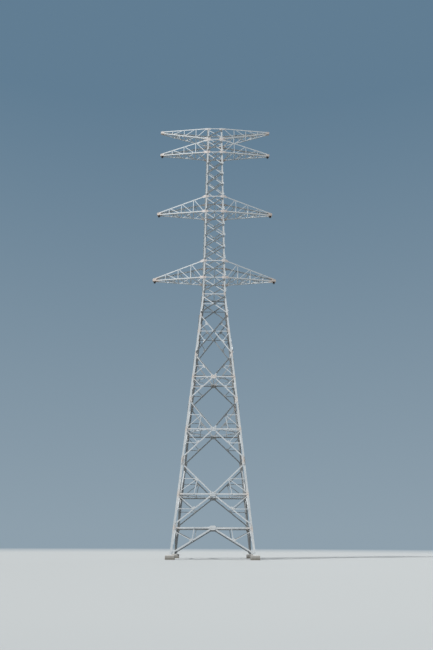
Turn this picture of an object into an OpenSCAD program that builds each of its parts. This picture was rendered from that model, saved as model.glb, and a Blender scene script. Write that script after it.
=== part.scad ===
// Double-circuit lattice transmission tower, 36 m high, in galvanised rolled angles.
// Millimetres, +Z up, +X along the cross-arms, origin on the ground at the centre of the base.
// Heights add up from the ground, so a taller panel or tier lifts all that stands on it.
// A bar is laid by its two end points, the outward normal of the plane that carries it and the
// depth of its seat on that plane, so every flange lies flat on the leg, chord or plate it meets.
// Layers of a body face, from the outside in: leg flange, gussets, diagonals and horizontals.

/* [Widths] */
// Width over the leg corners at the ground
base_w = 5960; // [5400:20:6600]
// Width over the leg corners at the waist
waist_w = 1850; // [1660:10:2100]
// Width over the leg corners at the top
top_w = 1265; // [1130:5:1450]

/* [Body heights] */
// Height of the first horizontals above the ground
base_bay_h = 2095; // [1880:5:2400]
// Rise from there to the top of the first panel's diagonals
panel_1_h = 4435; // [3950:5:5000]
// Rise to the top of the second panel's diagonals
panel_2_h = 4700; // [4200:5:5300]
// Rise to the top of the third panel's diagonals
panel_3_h = 3650; // [3250:5:4100]
// Rise to the top of the fourth panel's diagonals
panel_4_h = 3395; // [3000:5:3800]
// Rise to the top of the fifth panel's diagonals
panel_5_h = 1660; // [1480:5:1900]
// Length of leg left bare between the diagonals of two panels
joint_gap = 250; // [220:5:300]
// The same at the leg splice above the first panel
splice_gap = 490; // [430:5:560]
// Share of a big panel's height that lies below its horizontal
panel_split = 0.49; // [0.44:0.01:0.56]

/* [Cage heights] */
// Rise from the waist to the bottom arms
waist_bay_h = 1420; // [1250:5:1600]
// Root depth of the bottom arms
arm_1_depth = 1495; // [1340:5:1700]
// Rise from the bottom arms' upper chords to the middle arms
tier_1_h = 4580; // [4000:10:5200]
// Root depth of the middle arms
arm_2_depth = 1430; // [1280:5:1600]
// Rise from the middle arms' upper chords to the top arms
tier_2_h = 4400; // [3900:10:5000]
// Root depth of the top arms
arm_3_depth = 1310; // [1170:5:1500]
// Rise from the top arms' upper joint to the flat top
peak_h = 1150; // [1030:5:1300]
// Crossed bays between two tiers of arms
tier_bays = 4; // [3:1:5]

/* [Arms] */
// Reach of the bottom arms from the tower's axis
arm_1_span = 5070; // [4500:10:5600]
// Reach of the middle arms from the tower's axis
arm_2_span = 4900; // [4400:10:5400]
// Reach of the top arms from the tower's axis
arm_3_span = 4790; // [4300:10:5300]
// Reach of the earth-wire arms from the tower's axis
peak_span = 4820; // [4300:10:5300]
// Bays along each arm
arm_bays = 4; // [3:1:5]
// Half the distance between the two side trusses of an arm at its tip
tip_half = 75; // [66:1:110]
// Distance between the chord lines at an arm's blunt tip
tip_depth = 110; // [98:1:160]

/* [Leg and bar sections] */
// Flange width of the legs below the splice
leg_a_s = 160; // [144:1:180]
// Flange thickness of the legs below the splice
leg_a_t = 14; // [12:0.2:18]
// Flange width of the body legs above the splice
leg_b_s = 140; // [126:1:160]
// Flange thickness of the body legs above the splice
leg_b_t = 12; // [10:0.2:16]
// Flange width of the cage legs
leg_c_s = 130; // [117:1:150]
// Flange thickness of the cage legs
leg_c_t = 10; // [8:0.2:12]
// Flange width of the body diagonals
diagonal_s = 90; // [80:1:100]
// Flange thickness of the body diagonals
diagonal_t = 7; // [6:0.2:9]
// Flange width of the crossed diagonals in the two upper panels
upper_s = 80; // [72:1:88]
// Flange thickness of those crossed diagonals
upper_t = 6; // [5:0.2:8]
// Flange width of the horizontals in the two tallest panels
belt_s = 100; // [92:1:110]
// Flange thickness of those horizontals
belt_t = 8; // [6:0.2:10]
// Flange width of the other horizontals of the body
ring_s = 85; // [76:1:94]
// Flange thickness of those horizontals
ring_t = 7; // [6:0.2:9]
// Flange width of the horizontals at the waist and in the cage
tie_s = 75; // [66:1:84]
// Flange thickness of those horizontals
tie_t = 6; // [5:0.2:8]
// Flange width of the light bars that steady the diagonals and the plan bracing
stay_s = 50; // [45:1:60]
// Flange thickness of those light bars
stay_t = 4; // [3.6:0.2:6]
// Flange width of the cage diagonals
cross_s = 70; // [60:1:77]
// Flange thickness of the cage diagonals
cross_t = 5; // [4:0.2:6]
// Flange width of the arm chords
chord_s = 90; // [80:1:100]
// Flange thickness of the arm chords
chord_t = 7; // [6:0.2:9]
// Flange width of the bars inside the arms
web_s = 55; // [48:1:62]
// Flange thickness of the bars inside the arms
web_t = 4; // [3.6:0.2:6]

/* [Plates] */
// Thickness of gussets, splice and tip plates
plate_t = 10; // [8:0.2:12]
// Width of the gussets where body diagonals meet a leg
leg_gusset_w = 220; // [200:5:260]
// Reach of those gussets above and below the diagonals' ends
leg_gusset_h = 150; // [135:5:180]
// Width of the plate at the middle of a big panel's horizontal
hub_w = 460; // [400:10:520]
// Height of the plate at the middle of a big panel's horizontal
hub_h = 300; // [260:10:340]
// Width of the plate between the crossed bars of an upper panel
small_hub_w = 300; // [280:5:340]
// Height of the plate between the crossed bars of an upper panel
small_hub_h = 160; // [140:5:190]
// Length along a diagonal of the plates where light bars meet it
knee_l = 280; // [250:5:310]
// Reach of those plates from the diagonal's middle line
knee_h = 140; // [130:5:160]
// Width of the plates that tie the plan bracing to the horizontals
plan_plate_w = 240; // [210:5:270]
// Height of the bent plates that fix the arms to the legs
root_gusset_h = 240; // [210:5:270]
// Reach of the bent plates across a leg
root_gusset_w = 270; // [240:5:300]
// Reach of the bent plates along an arm's chord
root_gusset_l = 320; // [280:5:380]
// Length of the side plates at an arm's tip
tip_plate_l = 300; // [270:5:340]
// Length of the cover plates at the splice of the body legs
splice_len = 560; // [480:5:620]
// Length of the cover plates at the splice of the cage legs
cover_len = 320; // [280:5:360]
// Reach below the waist of the plates that join body and cage
waist_cover_h = 180; // [160:5:200]

/* [Feet and fittings] */
// Side of a concrete pier head
pier_w = 640; // [570:10:900]
// Height of a pier head above the ground
pier_h = 300; // [250:5:330]
// Bevel round the top of a pier head
pier_bevel = 40; // [30:1:60]
// Depth of a hanger plate below its arm
hanger_h = 180; // [150:5:240]
// Width of a hanger plate
hanger_w = 180; // [150:5:240]
// Thickness of a hanger plate
hanger_t = 16; // [14:1:20]
// Width of the foot plate that bolts a hanger to its arm
hanger_foot_w = 130; // [110:5:145]
// Distance of a hanger's middle from its arm's end
hanger_in = 155; // [135:5:170]
// Diameter of the hole in a hanger plate
hanger_hole_d = 40; // [30:1:48]
// Height of that hole above the plate's lower edge
hanger_hole_z = 50; // [42:1:58]

/* [Hidden] */
up_z = [0, 0, 1];
// Depth by which fused bars and plates run into each other
bite = 1;
// Bar end beyond the leg's bolt line
lap = 20;
// Air left between bars of neighbouring faces
clear = 8;
// Gap between the end of a light bar and the middle line of the diagonal that it steadies
knee_gap = 95;
galvanised = [0.74, 0.76, 0.77];
dark_metal = [0.3, 0.33, 0.35];
concrete = [0.66, 0.65, 0.62];

// Heights
panel_1_z = base_bay_h + panel_1_h;
panel_2_z = panel_1_z + panel_2_h;
panel_3_z = panel_2_z + panel_3_h;
panel_4_z = panel_3_z + panel_4_h;
panel_5_z = panel_4_z + panel_5_h;
waist_z = panel_5_z + joint_gap + 30;
arm_1_z = waist_z + waist_bay_h;
arm_2_z = arm_1_z + arm_1_depth + tier_1_h;
arm_3_z = arm_2_z + arm_2_depth + tier_2_h;
peak_z = arm_3_z + arm_3_depth;
top_z = peak_z + peak_h;
splice_z = panel_1_z + splice_gap / 2;
cage_splice_z = arm_2_z - tier_1_h / tier_bays / 2;
stub_z = pier_h / 5;
foot_z = pier_h + diagonal_s * 1.2;
// Half the height between the two chords that meet at the top arms' upper joint
joint_half = chord_s / 2 + 15;
// Depth of the topmost chords and horizontals below the flat top
top_edge = chord_s / 2 + 15;
// Height between an arm's level and the ends of the nearest crossed bars
cross_gap = root_gusset_h / 2 + cross_s / 2 + 2 * clear;
// Gap between the end of an arm's chord and the leg
root_gap = chord_s / 2;
// Where hangers meet a horizontal, as a share of its half length
base_hanger_share = 0.48;
panel_hanger_share = 0.55;

// Inward lean of the faces, per unit of height
body_lean = (base_w - waist_w) / 2 / waist_z;
cage_lean = (waist_w - top_w) / 2 / (top_z - waist_z);

function unit(v) = v / norm(v);
function width(z) = z <= waist_z ? base_w - 2 * body_lean * z : waist_w - 2 * cage_lean * (z - waist_z);
function lean(z) = z <= waist_z ? body_lean : cage_lean;
function face_out(z) = unit([0, -1, lean(z)]);
function face_up(z) = unit([0, lean(z), 1]);
function leg_s(z) = z > waist_z ? leg_c_s : z > splice_z ? leg_b_s : leg_a_s;
function leg_t(z) = z > waist_z ? leg_c_t : z > splice_z ? leg_b_t : leg_a_t;
// Half the distance between the bolt lines of two legs
function gauge(z) = width(z) / 2 - leg_s(z) / 2;
// Point on the outer plane of the front face
function face(u, z) = [u, -width(z) / 2, z];
// Height of a panel's horizontal: by share in the big panels, at the crossing in the small ones
function shared(z0, z1) = z0 + panel_split * (z1 - z0);
function crossing(z0, z1) = z0 + (z1 - z0) * gauge(z0) / (gauge(z0) + gauge(z1));
// Outline of a plate with its corners clipped
function clipped(w, h, c) = [
    [c - w / 2, -h / 2], [w / 2 - c, -h / 2], [w / 2, c - h / 2], [w / 2, h / 2 - c],
    [w / 2 - c, h / 2], [c - w / 2, h / 2], [-w / 2, h / 2 - c], [-w / 2, c - h / 2]
];

// Depth below the face plane at which the main bars of the three big panels lie
function bar_depth(z) = leg_t(z) + plate_t;
// Length over which a bar's standing flange is cut back, so that it passes the next face's bar
function cope(z, s, depth, dir) = lap + max(
    s, (depth + s + clear - leg_s(z) / 2 + abs(dir.z) * s / 2) / norm([dir.x, dir.y])
);

// Levels of each big panel: lower edge of its gussets, lower end of its diagonals, horizontal,
// upper end of its diagonals, upper edge of its gussets
function panel(low_edge, low, level, high, high_edge) = [low_edge, low, level, high, high_edge];
slit = clear / 2;
panels = [
    panel(
        base_bay_h + ring_s / 2 + slit, base_bay_h + joint_gap,
        shared(base_bay_h + joint_gap, panel_1_z), panel_1_z, splice_z - slit
    ),
    panel(
        splice_z + slit, panel_1_z + splice_gap,
        shared(panel_1_z + splice_gap, panel_2_z), panel_2_z, panel_2_z + joint_gap / 2
    ),
    panel(
        panel_2_z + joint_gap / 2 + clear, panel_2_z + joint_gap,
        shared(panel_2_z + joint_gap, panel_3_z), panel_3_z, panel_3_z + joint_gap / 2
    )
];
waist_ring_z = waist_z - tie_s / 2 - clear;
// Levels with plan bracing, and the flange width and seat depth of their horizontals
plan_levels = [base_bay_h, panels[0][2], panels[1][2], panels[2][2], waist_ring_z];
plan_flanges = [ring_s, belt_s, belt_s, ring_s, tie_s];
function plan_depth(i) = i < 4 ? bar_depth(plan_levels[i]) : leg_t(plan_levels[i]);
arm_levels = [
    [arm_1_z, arm_1_z + arm_1_depth],
    [arm_2_z, arm_2_z + arm_2_depth],
    [arm_3_z, peak_z - joint_half],
    [peak_z + joint_half, top_z - top_edge]
];
arm_spans = [arm_1_span, arm_2_span, arm_3_span, peak_span];
// Reach of the bent plates below and above each chord
root_half = root_gusset_h / 2;
root_reach = [
    [[root_half, root_half], [root_half, root_half]],
    [[root_half, root_half], [root_half, root_half]],
    [[root_half, root_half], [root_half, joint_half - slit]],
    [[joint_half - slit, root_half], [root_half, top_edge - clear]]
];
cage_rings = [
    arm_1_z, arm_1_z + arm_1_depth, arm_2_z, arm_2_z + arm_2_depth, arm_3_z, peak_z, top_z - top_edge
];

function corner(z) = [-width(z) / 2, -width(z) / 2, z];
// Outward normal of the front side truss of a left arm
function arm_out(i) = unit(cross(
    corner(arm_levels[i][0]) - arm_point(i), corner(arm_levels[i][1]) - corner(arm_levels[i][0])
));
// End of the chord that runs level, the lower one except on the earth-wire arms
function arm_point(i) = [-arm_spans[i], -tip_half, arm_levels[i][i < 3 ? 0 : 1]];
// Point at the tip that lies tip_depth from it, square to the level chord
function arm_far_point(i) = arm_point(i) + tip_depth * (i < 3 ? 1 : -1)
    * unit(cross(arm_out(i), corner(arm_levels[i][i < 3 ? 0 : 1]) - arm_point(i)));
// Lower (j = 0) or upper (j = 1) chord of that truss, from the tip to the leg
function arm_chord(i, j) = [
    (i < 3) == (j == 0) ? arm_point(i) : arm_far_point(i), corner(arm_levels[i][j])
];
// Point on a chord at a share of its length from the leg
function chord_at(chord, share) = chord[1] + (chord[0] - chord[1]) * share;

sides = ["front", "right", "back", "left"];
corners = ["front_left", "front_right", "back_right", "back_left"];
plans = ["base", "first", "second", "third", "waist"];
tiers = ["bottom", "middle", "top", "earth_wire"];
hands = ["left", "right"];

// Bars and plates

module frame_at(p, x, y, z) {
    multmatrix([[x.x, y.x, z.x, p.x], [x.y, y.y, z.y, p.y], [x.z, y.z, z.z, p.z], [0, 0, 0, 1]])
        children();
}

// Equal angle centred on the line a to b. Its flat flange lies on the plane at depth seat and
// the other stands off it, outwards (way = 1) or inwards (way = -1), along one edge.
module angle_bar(a, b, out, s, t, way = -1, seat = 0, edge = 1, ends = [0, 0]) {
    along = unit(b - a);
    frame_at(a, cross(out, along), out, along)
        translate([0, seat, -ends[0]])
            linear_extrude(norm(b - a) + ends[0] + ends[1])
                polygon([
                    [-edge * s / 2, 0],
                    [edge * s / 2, 0],
                    [edge * s / 2, way * s],
                    [edge * (s / 2 - t), way * s],
                    [edge * (s / 2 - t), way * t],
                    [-edge * s / 2, way * t]
                ]);
}

// The same with its outer side at the seat and the standing flange cut back at both ends
module coped_bar(a, b, out, s, t, seat, edge, ends, cope, way = -1) {
    along = unit(b - a);
    len = norm(b - a) + ends[0] + ends[1];
    frame_at(a, cross(out, along), out, along)
        translate([0, seat, -ends[0]]) {
            translate([-s / 2, -t, 0])
                cube([s, t, len]);
            translate([edge > 0 ? s / 2 - t : -s / 2, way > 0 ? -t : -s, cope])
                cube([t, s, len - 2 * cope]);
        }
}

// Rectangular plate centred on the line a to b, between two depths along its normal
module strip(a, b, out, w, low, high, ends = [0, 0]) {
    along = unit(b - a);
    frame_at(a, cross(out, along), out, along)
        translate([-w / 2, low, -ends[0]])
            cube([w, high - low, norm(b - a) + ends[0] + ends[1]]);
}

// Flat plate on a plane, its outline drawn with x along the given direction
module plate(p, along, out, outline, low, high) {
    frame_at(p, along, cross(out, along), out)
        translate([0, 0, low])
            linear_extrude(high - low)
                polygon(outline);
}

module both_hands() {
    for (m = [0, 1])
        mirror([m, 0, 0])
            children();
}

// Legs

// Layer of a leg angle at the front left corner, between two depths below the face planes
module leg_layer(z0, z1, s, near, far, d) {
    half = 90 - acos(d * d / (1 + d * d)) / 2;
    tilt = atan(d * sqrt(2));
    one = [cos(half), sin(half)];
    two = [cos(half), -sin(half)];
    in_one = [one.y, -one.x];
    in_two = [-two.y, two.x];
    translate([-width(z0) / 2, -width(z0) / 2, z0])
        rotate([0, tilt, 45])
            linear_extrude((z1 - z0) / cos(tilt))
                polygon([
                    [near / sin(half), 0],
                    s * one + near * in_one,
                    s * one + far * in_one,
                    [far / sin(half), 0],
                    s * two + far * in_two,
                    s * two + near * in_two
                ]);
}

module body_leg(k) {
    color(galvanised)
        rotate([0, 0, 90 * k]) {
            leg_layer(stub_z, splice_z, leg_a_s, 0, leg_a_t, body_lean);
            leg_layer(splice_z - bite, waist_z - clear, leg_b_s, 0, leg_b_t, body_lean);
        }
}

module cage_leg(k) {
    color(galvanised)
        rotate([0, 0, 90 * k])
            leg_layer(waist_z, top_z, leg_c_s, 0, leg_c_t, cage_lean);
}

// Plate on the left leg that follows the leg's lean, its far corners clipped: near is where it
// starts beside the corner, low how deep its inner side lies
module leg_plate(z0, z1, w, c, near = clear, low = 0) {
    z = (z0 + z1) / 2;
    half = (z1 - z0) / face_up(z).z / 2;
    shift = lean(z) * (z1 - z0) / 2;
    plate(face(-width(z) / 2, z), [1, 0, 0], face_out(z), [
        [near - shift, -half], [w - c - shift, -half], [w - shift, c - half],
        [w + shift, half - c], [w - c + shift, half], [near + shift, half]
    ], low, low + plate_t);
}

// The same on the leg's inner face, clear of the leg's other flange and the next face's plate
module leg_gusset(z0, z1, w, c) {
    depth = bar_depth((z0 + z1) / 2);
    leg_plate(z0, z1, w, c, depth + clear, -depth);
}

// Cover plates outside the legs at the splice of the body, at the waist and half way up the cage
module leg_splices() {
    color(galvanised)
        for (k = [0:3])
            rotate([0, 0, 90 * k])
                for (m = [0, 1])
                    mirror([m, -m, 0]) {
                        leg_plate(
                            splice_z - splice_len / 2, splice_z + splice_len / 2,
                            min(leg_a_s, leg_b_s) - lap, clear
                        );
                        leg_plate(waist_z - waist_cover_h, waist_z - bite, leg_b_s - lap, clear);
                        leg_plate(waist_z - clear + bite, waist_z + root_half, leg_c_s - lap, clear);
                        leg_plate(
                            cage_splice_z - cover_len / 2, cage_splice_z + cover_len / 2,
                            leg_c_s - lap, clear
                        );
                    }
}

// Bracing of the body, drawn on the front face and turned to the other sides

// Horizontal inside the leg flanges, coped to pass the horizontals of the next faces
module ring_bar(z, s, t, depth) {
    hold = gauge(z) + lap / 2;
    coped_bar(
        face(-hold, z), face(hold, z), face_out(z), s, t, -depth, 1, [0, 0],
        depth + s + clear - leg_s(z) / 2 + lap / 2
    );
}

// Half diagonal behind the gussets, from the left leg to the plate on a horizontal of width s,
// its standing flange on the upper edge, inside or (way = 1) outside the tower
module half_diagonal(leg_z, mid_z, s, way = -1) {
    a = face(-gauge(leg_z), leg_z);
    b = face(0, mid_z);
    dir = unit(b - a);
    depth = bar_depth(leg_z) - bite;
    run = norm([dir.x, dir.y]);
    short = (s / 2 + run * diagonal_s / 2 + clear) / abs(dir.z);
    past_gusset = (leg_gusset_w + clear - leg_s(leg_z) / 2) / run;
    coped_bar(
        a, b, face_out(leg_z), diagonal_s, diagonal_t, -depth, 1, [-lap / 2, -short],
        way > 0 ? past_gusset : cope(leg_z, diagonal_s, depth, dir), way
    );
}

// Plate on the middle of a big panel's horizontal
module hub_plate(z) {
    plate(face(0, z), [1, 0, 0], face_out(z), clipped(hub_w, hub_h, hub_h / 4), -bar_depth(z), -leg_t(z));
}

// Light bar on the inner face of the leg flanges
module light_bar(a, b, ends, back = stay_s + lap) {
    z = (a.z + b.z) / 2;
    coped_bar(a, b, face_out(z), stay_s, stay_t, -leg_t(z), 1, ends, back);
}

// Light bars of half a diagonal over a horizontal of width s: a level one and one to the leg near
// the horizontal, with the plate that packs them out from the diagonal
module stays(leg_z, mid_z, s) {
    knee = knee_of(leg_z, mid_z);
    corner_z = mid_z + (leg_z > mid_z ? 1 : -1) * (s / 2 + stay_s);
    knee_plate(leg_z, mid_z, diagonal_s, -bar_depth(knee.z), -leg_t(knee.z) - stay_t + bite);
    light_bar(face(-gauge(knee.z), knee.z), knee, [lap, -knee_gap]);
    light_bar(face(-gauge(corner_z), corner_z), knee, [lap, -knee_gap]);
}

// Middle of the half diagonal from the left leg to the middle of a face
function knee_of(leg_z, mid_z) = face(-gauge(leg_z) / 2, (leg_z + mid_z) / 2);

// Plate there, on a bar of width s, between two depths: it reaches out on the leg's side only
module knee_plate(leg_z, mid_z, s, low, high) {
    side = mid_z > leg_z ? 1 : -1;
    l = knee_l / 2;
    c = knee_h / 4;
    near = side * (lap - s / 2);
    plate(
        knee_of(leg_z, mid_z), unit(face(0, mid_z) - face(-gauge(leg_z), leg_z)), face_out(leg_z), [
            [-l, near], [l, near], [l, side * (knee_h - c)], [l - c, side * knee_h],
            [c - l, side * knee_h], [-l, side * (knee_h - c)]
        ], low, high
    );
}

// Light bar from a horizontal of width s, up or down to the middle of half a diagonal
module hanger_bar(ring_z, s, share, knee) {
    foot = face(-share * gauge(ring_z), ring_z);
    half = [stay_s / 2 + lap, 0, 0];
    strip(
        foot - half, foot + half, face_out(ring_z), s - lap,
        -bar_depth(ring_z), -leg_t(ring_z) - stay_t + bite
    );
    light_bar(foot, knee, [s / 3, -knee_gap], s + lap);
}

module big_panel(p, s, t, hangers, upper_way) {
    ring_bar(p[2], s, t, bar_depth(p[2]) - bite);
    hub_plate(p[2]);
    both_hands() {
        leg_gusset(p[0], p[1] + leg_gusset_h, leg_gusset_w, leg_gusset_w / 4);
        leg_gusset(p[3] - leg_gusset_h, p[4], leg_gusset_w, leg_gusset_w / 4);
        leg_gusset(p[2] - s / 2 + lap, p[2] + s / 2 - lap, leg_s(p[2]) - clear, clear);
        half_diagonal(p[1], p[2], s);
        half_diagonal(p[3], p[2], s, upper_way);
        stays(p[1], p[2], s);
        stays(p[3], p[2], s);
        if (hangers)
            hanger_bar(p[2], s, panel_hanger_share, knee_of(p[3], p[2]));
    }
}

// Inverted V of the lowest bay, with a light bar and a hanger to the middle of each half
module base_panel() {
    z = base_bay_h;
    knee = knee_of(foot_z, z);
    stay_z = z - leg_gusset_h - stay_s;
    ring_bar(z, ring_s, ring_t, bar_depth(z) - bite);
    hub_plate(z);
    both_hands() {
        leg_gusset(pier_h + 2 * clear, foot_z + leg_gusset_h, leg_gusset_w, leg_gusset_w / 4);
        leg_gusset(z - leg_gusset_h, z + ring_s / 2, leg_gusset_w, leg_gusset_w / 4);
        half_diagonal(foot_z, z, ring_s);
        knee_plate(foot_z, z, diagonal_s, -bar_depth(z), -leg_t(z) - stay_t + bite);
        light_bar(face(-gauge(stay_z), stay_z), knee, [lap, -knee_gap]);
        hanger_bar(z, ring_s, base_hanger_share, knee);
    }
}

// Crossed pair of diagonals: one outside the leg flange, one inside
module crossed_bars(z0, z1, s, t) {
    out = face_out(z1);
    a = face(-gauge(z0), z0);
    b = face(gauge(z1), z1);
    depth = leg_t(z1);
    angle_bar(a, b, out, s, t, 1, 0, 1, [lap, lap]);
    coped_bar(
        face(-gauge(z1), z1), face(gauge(z0), z0), out, s, t, -depth, 1, [lap / 2, lap / 2],
        cope(z1, s, depth, unit(b - a))
    );
}

// Upper panel: crossed diagonals with a plate between them, which also holds the light horizontals
module crossed_panel(z0, z1, corner_stays) {
    z = crossing(z0, z1);
    dir = unit(face(gauge(z1), z1) - face(-gauge(z0), z0));
    stop = (upper_s / 2 + norm([dir.x, dir.y]) * stay_s / 2) / dir.z + clear;
    crossed_bars(z0, z1, upper_s, upper_t);
    plate(
        face(0, z), [1, 0, 0], face_out(z), clipped(small_hub_w, small_hub_h, small_hub_h / 4),
        -leg_t(z) - bite, bite
    );
    both_hands() {
        light_bar(face(-gauge(z), z), face(-stop, z), [lap, 0]);
        if (corner_stays)
            for (end_z = [z0, z1]) {
                corner_z = z + (end_z > z ? 1.5 : -1.5) * stay_s;
                knee_plate(end_z, z, upper_s, -leg_t(z) - bite, bite);
                light_bar(face(-gauge(corner_z), corner_z), knee_of(end_z, z), [lap, -knee_gap]);
            }
    }
}

module base_bracing(k) {
    color(galvanised)
        rotate([0, 0, 90 * k])
            base_panel();
}

module lower_bracing(k) {
    color(galvanised)
        rotate([0, 0, 90 * k])
            big_panel(panels[0], belt_s, belt_t, true, -1);
}

module middle_bracing(k) {
    color(galvanised)
        rotate([0, 0, 90 * k]) {
            big_panel(panels[1], belt_s, belt_t, true, 1);
            big_panel(panels[2], ring_s, ring_t, false, 1);
        }
}

module upper_bracing(k) {
    color(galvanised)
        rotate([0, 0, 90 * k]) {
            crossed_panel(panel_3_z + joint_gap, panel_4_z, true);
            crossed_panel(panel_4_z + joint_gap, panel_5_z, false);
            ring_bar(waist_ring_z, tie_s, tie_t, leg_t(waist_ring_z));
        }
}

// Crossed pair of cage diagonals, packed where they cross
module cage_cross(z0, z1) {
    mid = face(0, crossing(z0, z1));
    hip = face_up(z1) * cross_s * 0.6;
    crossed_bars(z0, z1, cross_s, cross_t);
    strip(mid - hip, mid + hip, face_out(z1), cross_s, -leg_t(z1) - bite, bite);
}

// Cage bays between two arm levels
module cage_bays(z0, z1, count) {
    start = z0 + cross_gap;
    step = (z1 - z0 - 2 * cross_gap) / count;
    for (i = [0:count - 1])
        cage_cross(start + i * step, start + (i + 1) * step);
}

// Light bar from a horizontal of the cage up to the crossing above it
module cage_hanger(z0, z1) {
    top = crossing(z0 + cross_gap, z1 - cross_gap);
    angle_bar(
        face(0, z0), face(0, top), face_out(z1), stay_s, stay_t, 1, -leg_t(z1) - bite, 1,
        [tie_s / 3, -cross_s]
    );
}

// Bent plate that fixes one chord of an arm: one leaf on the leg, the other along the chord
module root_gusset(i, j) {
    line = arm_chord(i, j);
    out = arm_out(i);
    up_leg = unit(corner(arm_levels[i][1]) - corner(arm_levels[i][0]));
    inward = cross(up_leg, out);
    dir = unit(line[0] - line[1]);
    rise = -(dir * up_leg) / (dir * inward);
    down = root_reach[i][j][0];
    up = root_reach[i][j][1];
    w = root_gusset_w;
    c = w / 5;
    l = root_gusset_l;
    half = chord_s / 2 - bite;
    plate(line[1], inward, out, [
        [bite, -down], [-l / 2, rise * l / 2 - down], [-l, rise * l - half],
        [-l, rise * l + half], [-l / 2, rise * l / 2 + up], [bite, up]
    ], 0, plate_t);
    plate(line[1], [1, 0, 0], face_out(line[1].z), [
        [-plate_t / 2, -down], [w - c, -down], [w, c - down], [w, up - c], [w - c, up], [-plate_t / 2, up]
    ], 0, plate_t);
}

module cage_bracing(k) {
    color(galvanised)
        rotate([0, 0, 90 * k]) {
            for (z = cage_rings)
                ring_bar(z, tie_s, tie_t, leg_t(z));
            cage_bays(waist_z, arm_levels[0][0], 1);
            for (l = arm_levels)
                cage_bays(l[0], l[1], 1);
            for (i = [0, 1]) {
                cage_bays(arm_levels[i][1], arm_levels[i + 1][0], tier_bays);
                cage_hanger(arm_levels[i][0], arm_levels[i][1]);
            }
            if (k % 2 == 0)
                both_hands()
                    for (i = [0:3], j = [0, 1])
                        root_gusset(i, j);
        }
}

// Plan bracing: a diamond between the middles of the four horizontals of one level

module plan_bracing(i) {
    z = plan_levels[i];
    s = plan_flanges[i];
    half = width(z) / 2;
    edge = plan_depth(i) + 12;
    inset = plan_depth(i) + s + lap;
    level = z + s / 2 - lean(z) * (inset + plan_plate_w / 2) + plate_t * 0.4;
    plan_foot = stay_s + 2 * lap;
    hip = face_up(z);
    out = face_out(z);
    color(galvanised) {
        for (k = [0:3])
            rotate([0, 0, 90 * k]) {
                seat = face(0, z) + hip * s / 2;
                strip(
                    seat - out * edge, seat - out * (inset + plan_plate_w / 2), hip,
                    plan_plate_w, 0, plate_t * 0.8
                );
                angle_bar(
                    [-60, -half + inset + 40, level], [-half + inset + 40, -60, level],
                    up_z, stay_s, stay_t, 1, 0, 1, [0, 0]
                );
                if (i < 3)
                    for (hand = [-1, 1]) {
                        u = hand * half / 2;
                        foot = face(u, z) + hip * s / 2;
                        strip(
                            foot - out * edge, foot - out * (inset + plan_foot), hip,
                            plan_foot, 0, plate_t * 0.8
                        );
                        angle_bar(
                            [u, inset - half, level], [u, inset - half / 2 - lap, level],
                            up_z, stay_s, stay_t, 1, 0, 1, [0, 0]
                        );
                    }
            }
        if (i > 2)
            angle_bar(
                [0, -half + inset + 10, level], [0, half - inset - 10, level],
                up_z, stay_s, stay_t, 1, 0, 1, [0, 0]
            );
    }
}

// Cross-arms, drawn on the left; the right ones are their mirror image

// Side truss of an arm: two chords, posts, and diagonals that fall towards the tower
module arm_truss(i) {
    low = arm_chord(i, 0);
    high = arm_chord(i, 1);
    out = arm_out(i);
    near = i < 3 ? low : high;
    angle_bar(low[0], low[1], out, chord_s, chord_t, -1, 0, -1, [0, -root_gap]);
    angle_bar(high[0], high[1], out, chord_s, chord_t, -1, 0, 1, [0, -root_gap]);
    for (j = [1:arm_bays - 1]) {
        inner = (j - 1) / arm_bays + 0.03;
        outer = j / arm_bays - 0.015;
        angle_bar(
            chord_at(low, j / arm_bays), chord_at(high, j / arm_bays), out, web_s, web_t,
            -1, -chord_t + bite, 1, [lap, lap]
        );
        angle_bar(
            chord_at(i < 3 ? high : low, outer), chord_at(i < 3 ? low : high, inner), out, web_s, web_t,
            -1, -chord_t + bite, 1, [lap / 2, lap / 2]
        );
    }
    mid = (low[0] + high[0]) / 2;
    strip(
        mid, mid + unit(near[1] - near[0]) * tip_plate_l, out, tip_depth + chord_s + plate_t,
        -bite, plate_t, [plate_t, 0]
    );
}

// Struts and crossed bars between the two lower chords, above and below the chords' flanges
module arm_floor(i) {
    line = arm_chord(i, 0);
    run = line[1] - line[0];
    up = unit(cross([run.x, 0, run.z], [0, 1, 0]));
    above = -chord_s / 2 + chord_t - 2;
    below = -chord_s / 2 + 2;
    inset = chord_t + 12;
    for (j = [1:arm_bays - 1]) {
        p = chord_at(line, j / arm_bays) + [0, inset, 0];
        angle_bar(p, [p.x, -p.y, p.z], up, web_s, web_t, 1, above, 1, [0, 0]);
        a = chord_at(line, (j - 0.92) / arm_bays) + [0, inset, 0];
        b = chord_at(line, (j - 0.08) / arm_bays) + [0, inset, 0];
        angle_bar([a.x, -a.y, a.z], b, up, web_s, web_t, 1, above, 1, [0, 0]);
        angle_bar(a, [b.x, -b.y, b.z], up, web_s, web_t, -1, below, 1, [0, 0]);
    }
}

// Closing plates of the blunt tip
module arm_tip(i) {
    z = i < 3 ? arm_levels[i][0] : arm_levels[i][1] - tip_depth;
    base = z - chord_s / 2;
    across = 2 * (tip_half + plate_t);
    translate([-arm_spans[i] - plate_t, -across / 2, base])
        cube([plate_t, across, chord_s + tip_depth]);
    if (i < 3)
        translate([-arm_spans[i] - plate_t, -across / 2, base - plate_t])
            cube([tip_plate_l - 2 * lap, across, plate_t + bite]);
}

module arm(i, hand) {
    color(galvanised)
        mirror([hand, 0, 0]) {
            for (m = [0, 1])
                mirror([0, m, 0])
                    arm_truss(i);
            arm_floor(i);
            arm_tip(i);
        }
}

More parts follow.
